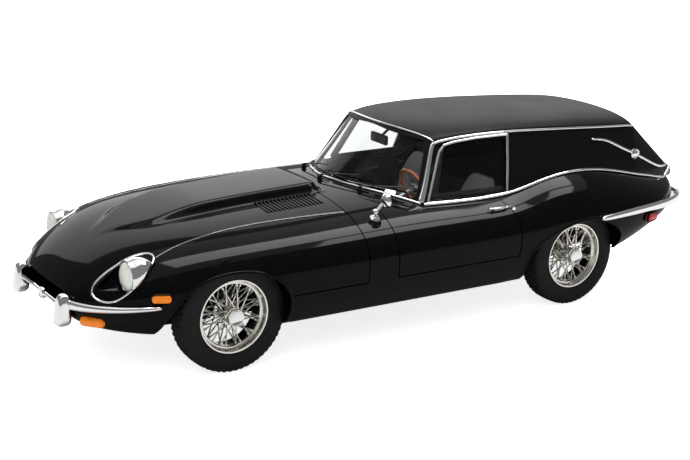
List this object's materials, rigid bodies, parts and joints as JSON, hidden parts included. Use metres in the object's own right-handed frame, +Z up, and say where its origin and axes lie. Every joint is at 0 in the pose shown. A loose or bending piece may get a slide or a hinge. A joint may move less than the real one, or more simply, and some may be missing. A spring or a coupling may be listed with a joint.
{
  "type": "scale model shooting brake",
  "caption": "Shelf model of a long-bonnet two-door shooting brake with a flat-sided rear body, bright trim, landau bars and rolling wire wheels.",
  "frame": {"origin": "on the ground under the middle of the length over the bumpers", "axes": "+X to the nose, +Y to the car's left, +Z up"},
  "size_m": [0.247, 0.095, 0.0665],
  "materials": {
    "body_paint": "gloss black enamel, polished",
    "roof_paint": "satin black",
    "chrome": "bright plated",
    "glass": "clear",
    "lamp_glass": "clear, moulded",
    "amber_lens": "translucent amber",
    "red_lens": "translucent red",
    "tyre": "matt rubber",
    "wire": "plated wire",
    "cabin_trim": "grained black",
    "seat_hide": "moulded seat with a fine hide grain",
    "wheel_wood": "varnished",
    "base_plastic": "moulded black",
    "steel": "plain",
    "wiper_black": "satin",
    "exhaust": "satin"
  },
  "bodies": {
    "root": {"body_shell": "body_paint", "roof_shell": "roof_paint", "base_plate": "base_plastic", "interior_tub": "cabin_trim", "dashboard": "cabin_trim", "steering_wheel": "wheel_wood", "seat_left": "seat_hide", "seat_right": "seat_hide", "windscreen": "glass", "window_left": "glass", "window_right": "glass", "rear_window": "glass", "windscreen_frame": "chrome", "window_frames": "chrome", "drip_trims": "chrome", "waist_trims": "chrome", "wing_beads": "chrome", "landau_bars": "chrome", "front_bumpers": "chrome", "mouth_bar": "chrome", "rear_bumpers": "chrome", "headlamps": "chrome", "headlamp_lenses": "lamp_glass", "headlamp_rings": "chrome", "turn_signals": "amber_lens", "side_markers": "amber_lens", "tail_lamps": "red_lens", "wing_mirror": "chrome", "cabin_mirror": "wiper_black", "wipers": "wiper_black", "door_handles": "chrome", "exhaust_pipes": "exhaust", "axle_front": "steel", "axle_rear": "steel"},
    "road_wheel_front_left": {"tyre_front_left": "tyre", "wheel_front_left": "wire", "spinner_front_left": "chrome"},
    "road_wheel_front_right": {"tyre_front_right": "tyre", "wheel_front_right": "wire", "spinner_front_right": "chrome"},
    "road_wheel_rear_left": {"tyre_rear_left": "tyre", "wheel_rear_left": "wire", "spinner_rear_left": "chrome"},
    "road_wheel_rear_right": {"tyre_rear_right": "tyre", "wheel_rear_right": "wire", "spinner_rear_right": "chrome"}
  },
  "joints": [
    {"name": "roll_front_left", "type": "hinge", "parent": "root", "child": "road_wheel_front_left", "pos_m": [0.075, 0.0353, 0.018], "axis": [0, 1, 0], "continuous": true},
    {"name": "roll_front_right", "type": "hinge", "parent": "root", "child": "road_wheel_front_right", "pos_m": [0.075, -0.0353, 0.018], "axis": [0, 1, 0], "continuous": true},
    {"name": "roll_rear_left", "type": "hinge", "parent": "root", "child": "road_wheel_rear_left", "pos_m": [-0.0604, 0.0353, 0.018], "axis": [0, 1, 0], "continuous": true},
    {"name": "roll_rear_right", "type": "hinge", "parent": "root", "child": "road_wheel_rear_right", "pos_m": [-0.0604, -0.0353, 0.018], "axis": [0, 1, 0], "continuous": true}
  ]
}
